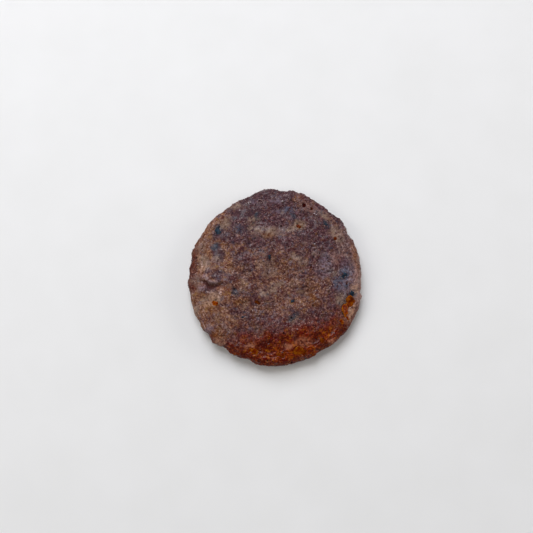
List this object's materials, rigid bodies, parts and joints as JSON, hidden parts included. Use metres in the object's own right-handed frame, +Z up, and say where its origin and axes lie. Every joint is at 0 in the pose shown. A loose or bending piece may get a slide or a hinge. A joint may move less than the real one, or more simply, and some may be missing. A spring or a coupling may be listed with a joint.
{
  "type": "adhirasam",
  "caption": "Round flat fried sweet of rice flour and jaggery, with a lumpy rolled rim, a low uneven top and a flat underside that it rests on.",
  "frame": {"origin": "on the surface that the sweet rests on, under the middle of its bounding box", "axes": "+Z up out of the shown top face, +Y to the back, +X to the right as seen from the front"},
  "size_m": [0.0844, 0.0882, 0.012],
  "materials": {
    "crust": "dark caramel brown fried crust, granular, with a thin film of frying oil",
    "syrup": "amber jaggery syrup, smooth, translucent and glossy",
    "speck": "near-black specks of cardamom husk, slightly glossy with oil"
  },
  "bodies": {
    "root": {"adhirasam": "crust"}
  },
  "joints": []
}
